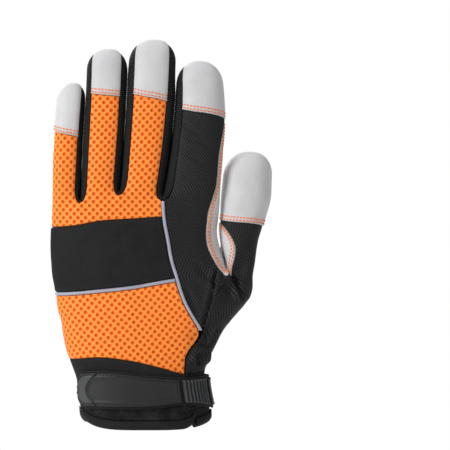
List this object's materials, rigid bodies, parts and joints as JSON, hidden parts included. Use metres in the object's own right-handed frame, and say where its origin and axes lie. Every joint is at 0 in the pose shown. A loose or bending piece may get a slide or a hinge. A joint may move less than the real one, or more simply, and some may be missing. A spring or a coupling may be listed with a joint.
{
  "type": "work glove",
  "caption": "Left-hand work glove: pale leather palm and fingertips, orange spacer-mesh back, black knuckle band, knit side and a cuff closed by a hook-and-loop strap.",
  "frame": {"origin": "middle of the wrist opening, in the plane of the cuff's rim", "axes": "+Z to the fingertips, +X to the thumb side, +Y out of the palm, so the back of the hand faces -Y"},
  "size_m": [0.1427, 0.0577, 0.2504],
  "materials": {
    "leather": "smooth pale grain leather, matt",
    "mesh": "orange spacer mesh with staggered holes",
    "neoprene": "black neoprene faced with fine jersey",
    "piping": "grey reflective piping",
    "knit": "black porous knit",
    "ribbed": "black ribbed knit",
    "binding": "black knitted edge binding",
    "pile": "black loop pile",
    "webbing": "black strap fabric",
    "rubber": "dark grey moulded rubber, satin"
  },
  "bodies": {
    "root": {"little_tip": "leather", "ring_tip": "leather", "middle_tip": "leather", "index_tip": "leather", "thumb_tip": "leather", "palm_leather": "leather", "thumb_leather": "leather", "saddle_patch": "leather", "heel_pad": "leather", "wrist_tab": "leather", "mesh_upper": "mesh", "mesh_lower": "mesh", "knuckle_band": "neoprene", "cuff_back": "neoprene", "cuff_palm": "neoprene", "piping_band": "piping", "piping_side": "piping", "index_back_knit": "knit", "thumb_back_knit": "knit", "fourchette_little_ring": "ribbed", "fourchette_ring_middle": "ribbed", "fourchette_middle_index": "ribbed", "rim_binding_back": "binding", "rim_binding_palm": "binding", "loop_patch": "pile", "wrist_strap": "webbing", "strap_badge": "rubber", "badge_ribs": "rubber"}
  },
  "joints": []
}
